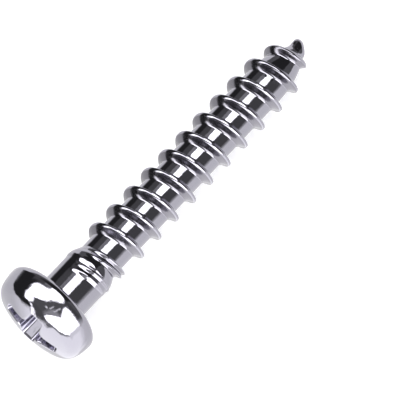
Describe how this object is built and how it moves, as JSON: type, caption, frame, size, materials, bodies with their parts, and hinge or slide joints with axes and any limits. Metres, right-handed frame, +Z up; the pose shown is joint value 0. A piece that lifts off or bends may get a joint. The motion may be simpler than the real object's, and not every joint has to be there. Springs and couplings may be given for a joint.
{
  "type": "pan head tapping screw",
  "caption": "Steel tapping screw: domed pan head with a cross recess, short plain shank, coarse right-hand thread and gimlet point.",
  "frame": {"origin": "middle of the bounding box in plan, on the table that the screw lies on", "axes": "+X runs along the screw from head to point, +Z is up; the axis dips about 4 degrees towards the point, because the rim of the head and a crest of the thread rest on the table"},
  "size_m": [0.0273, 0.007, 0.007],
  "materials": {
    "bright_plated_steel": "polished"
  },
  "bodies": {
    "root": {"screw": "bright_plated_steel"}
  },
  "joints": []
}
